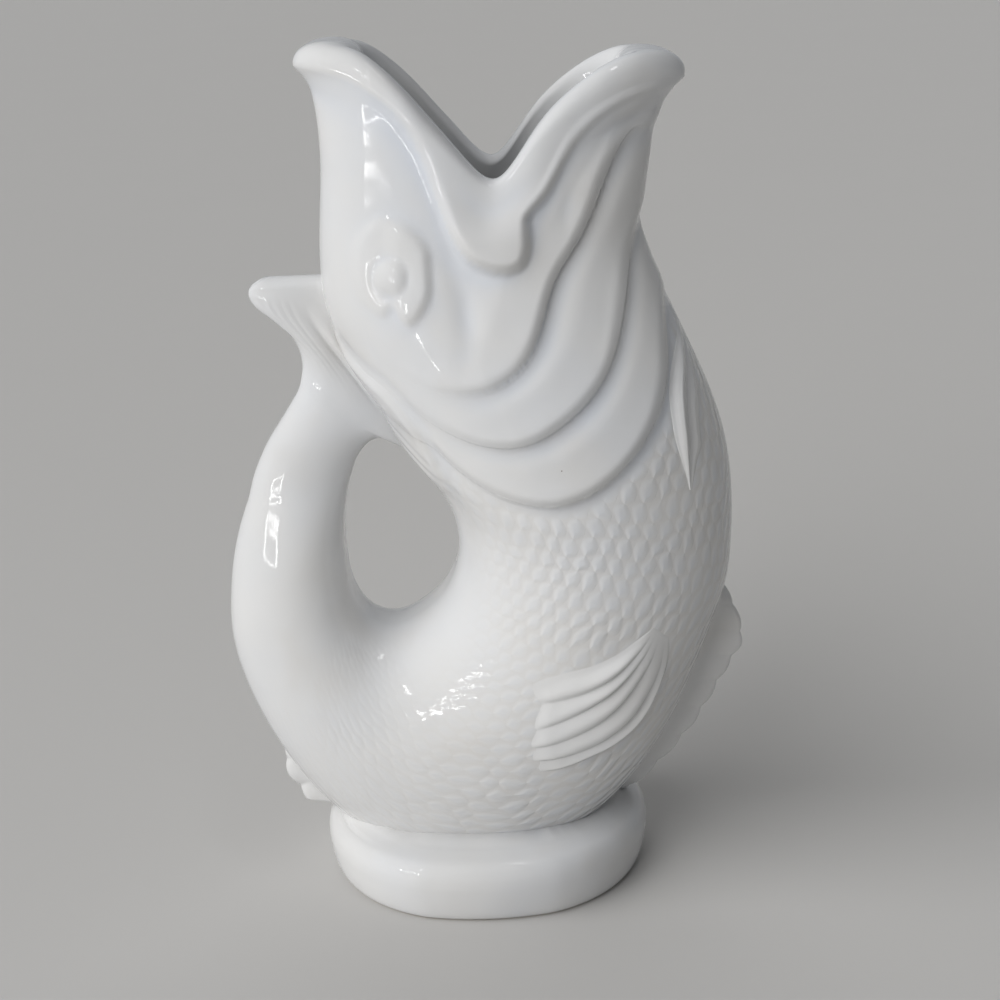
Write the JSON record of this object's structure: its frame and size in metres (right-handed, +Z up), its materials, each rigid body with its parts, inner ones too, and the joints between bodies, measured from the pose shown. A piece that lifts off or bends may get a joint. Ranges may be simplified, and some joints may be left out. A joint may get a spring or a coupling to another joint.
{
  "type": "gurgle jug",
  "caption": "Fish-shaped pouring jug that gapes upwards to pour, with its tail bent up behind as a hollow handle, scalloped fins and an oval plinth.",
  "frame": {"origin": "centre of the bounding box at the height of the table that the plinth stands on", "axes": "+Z up; +X from the tail handle towards the belly of the fish; the jug is alike on both sides of the X-Z plane"},
  "size_m": [0.1502, 0.087, 0.245],
  "materials": {
    "glaze": "gloss white glaze"
  },
  "bodies": {
    "root": {"body_shell": "glaze", "tail_handle": "glaze", "tail_fin": "glaze", "foot_plinth": "glaze", "belly_fin": "glaze", "back_fin": "glaze", "lip_near": "glaze", "lip_far": "glaze", "eye_near": "glaze", "eye_far": "glaze", "pectoral_fin_near": "glaze", "pectoral_fin_far": "glaze", "pelvic_fin_near": "glaze", "pelvic_fin_far": "glaze"}
  },
  "joints": []
}
